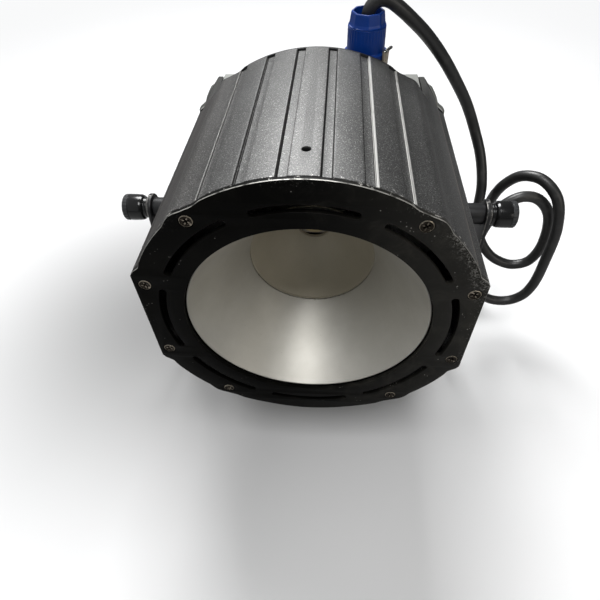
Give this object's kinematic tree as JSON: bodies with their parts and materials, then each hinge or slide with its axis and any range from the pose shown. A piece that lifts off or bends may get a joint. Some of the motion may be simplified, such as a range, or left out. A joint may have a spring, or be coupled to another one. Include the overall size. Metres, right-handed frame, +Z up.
{
  "type": "fresnel spotlight",
  "caption": "Studio lamp head with an extruded round housing, deep open reflector, single tilting yoke with clamp knobs, and a looped mains lead with a blue twist-lock plug.",
  "frame": {"origin": "centre of the outer face of the yoke crossbar, 173 mm below the tilt axis", "axes": "+X right seen from behind the camera looking at the lamp front, +Y rearward along the lens axis (light leaves along -Y), +Z up"},
  "size_m": [0.3623, 0.2163, 0.304],
  "materials": {
    "front_plate": "black, semi-gloss, chipped on the edges",
    "housing": "dark gunmetal powder coat, satin with a fine sparkle",
    "reflector": "satin spun aluminium",
    "reflector_inner": "satin, slightly warm",
    "internal_metal": "mill finish",
    "led": "phosphor over a pale ceramic board",
    "holder": "pale moulded plastic",
    "heat_sink": "black anodised",
    "fan": "black moulded plastic",
    "dark_metal": "dark satin metal",
    "bright_metal": "zinc-plated steel",
    "circuit_board": "green solder mask",
    "chassis": "light grey satin paint",
    "display": "dark glossy window",
    "black_plastic": "black moulded plastic",
    "knob_plastic": "glossy black moulded plastic",
    "inlet_plastic": "dark blue moulded plastic",
    "outlet_plastic": "grey moulded plastic",
    "plug_plastic": "deep blue moulded plastic",
    "latch_metal": "nickel-plated, slightly tan",
    "cable_rubber": "black rubber sheath, dusty",
    "yoke_paint": "black powder coat, worn to steel on the edges",
    "screw": "dark zinc, worn",
    "post_brass": "plain brass"
  },
  "bodies": {
    "yoke": {"yoke": "yoke_paint"},
    "lamp_head": {"front_plate": "front_plate", "body_extrusion": "housing", "outer_reflector": "reflector", "inner_reflector": "reflector_inner", "reflector_collar": "internal_metal", "led_module": "led", "led_holder": "holder", "heat_sink": "heat_sink", "bulkhead": "internal_metal", "fan_frame": "fan", "fan_guard": "dark_metal", "power_supply": "internal_metal", "driver_board": "circuit_board", "board_tray": "internal_metal", "rear_chassis": "chassis", "display_window": "display", "data_socket_in": "dark_metal", "data_socket_out": "dark_metal", "fuse_holder": "black_plastic", "mains_inlet": "inlet_plastic", "mains_outlet": "outlet_plastic", "safety_eye": "bright_metal", "front_screw_1": "screw", "front_screw_2": "screw", "front_screw_3": "screw", "front_screw_4": "screw", "front_screw_5": "screw", "front_screw_6": "screw", "front_screw_7": "screw", "front_screw_8": "screw", "rear_screw_1": "screw", "rear_screw_2": "screw", "rear_screw_3": "screw", "rear_screw_4": "screw", "rear_screw_5": "screw", "rear_screw_6": "screw", "reflector_post_1": "post_brass", "reflector_post_2": "post_brass", "reflector_post_3": "post_brass", "pivot_spacer_left": "dark_metal", "pivot_spacer_right": "dark_metal"},
    "fan_rotor": {"fan_rotor": "fan"},
    "mains_lead": {"mains_cable": "cable_rubber", "cable_end_plug": "black_plastic"},
    "mains_plug": {"plug_shell": "plug_plastic", "plug_bushing": "plug_plastic"},
    "plug_latch": {"plug_latch": "latch_metal"},
    "data_release": {"data_release_tab": "bright_metal"},
    "fuse_cap": {"fuse_cap": "black_plastic"},
    "menu_button_1": {"menu_button_1": "black_plastic"},
    "menu_button_2": {"menu_button_2": "black_plastic"},
    "menu_button_3": {"menu_button_3": "black_plastic"},
    "menu_button_4": {"menu_button_4": "black_plastic"},
    "clamp_washer_left": {"clamp_washer_left": "bright_metal"},
    "clamp_knob_left": {"clamp_knob_left": "knob_plastic", "clamp_stud_left": "bright_metal"},
    "clamp_washer_right": {"clamp_washer_right": "bright_metal"},
    "clamp_knob_right": {"clamp_knob_right": "knob_plastic", "clamp_stud_right": "bright_metal"}
  },
  "joints": [
    {"name": "head_tilt", "type": "hinge", "parent": "yoke", "child": "lamp_head", "pos_m": [0, 0, 0.173], "axis": [1, 0, 0], "range_deg": [-85, 120]},
    {"name": "fan_spin", "type": "hinge", "parent": "lamp_head", "child": "fan_rotor", "pos_m": [0, 0.069, 0.173], "axis": [0, 1, 0], "continuous": true},
    {"name": "lead_unplug", "type": "slide", "parent": "lamp_head", "child": "mains_lead", "axis": [0, 0, 1], "range_m": [0, 0.022]},
    {"name": "plug_twist", "type": "hinge", "parent": "mains_lead", "child": "mains_plug", "pos_m": [0.033, 0.061, 0.263], "axis": [0, 0, 1], "range_deg": [0, 30]},
    {"name": "plug_latch_slide", "type": "slide", "parent": "mains_plug", "child": "plug_latch", "axis": [0, 0, 1], "range_m": [0, 0.0025]},
    {"name": "fuse_cap_turn", "type": "hinge", "parent": "lamp_head", "child": "fuse_cap", "pos_m": [0, 0.088, 0.094], "axis": [0, 1, 0], "range_deg": [0, 90]},
    {"name": "data_release_press", "type": "slide", "parent": "lamp_head", "child": "data_release", "axis": [0, -1, 0], "range_m": [0, 0.0014]},
    {"name": "menu_button_1_press", "type": "slide", "parent": "lamp_head", "child": "menu_button_1", "axis": [0, -1, 0], "range_m": [0, 0.0012]},
    {"name": "menu_button_2_press", "type": "slide", "parent": "lamp_head", "child": "menu_button_2", "axis": [0, -1, 0], "range_m": [0, 0.0012]},
    {"name": "menu_button_3_press", "type": "slide", "parent": "lamp_head", "child": "menu_button_3", "axis": [0, -1, 0], "range_m": [0, 0.0012]},
    {"name": "menu_button_4_press", "type": "slide", "parent": "lamp_head", "child": "menu_button_4", "axis": [0, -1, 0], "range_m": [0, 0.0012]},
    {"name": "washer_left_back_off", "type": "slide", "parent": "lamp_head", "child": "clamp_washer_left", "axis": [-1, 0, 0], "range_m": [0, 0.00375]},
    {"name": "knob_left_turn", "type": "hinge", "parent": "clamp_washer_left", "child": "clamp_knob_left", "pos_m": [-0.14, 0, 0.173], "axis": [1, 0, 0], "range_deg": [0, 1085]},
    {"name": "washer_right_back_off", "type": "slide", "parent": "lamp_head", "child": "clamp_washer_right", "axis": [1, 0, 0], "range_m": [0, 0.00375]},
    {"name": "knob_right_turn", "type": "hinge", "parent": "clamp_washer_right", "child": "clamp_knob_right", "pos_m": [0.14, 0, 0.173], "axis": [-1, 0, 0], "range_deg": [0, 1085]}
  ],
  "couplings": [
    {"joint": "knob_left_turn", "follows": "washer_left_back_off", "rad_per_m": 5026.5},
    {"joint": "knob_right_turn", "follows": "washer_right_back_off", "rad_per_m": 5026.5}
  ]
}
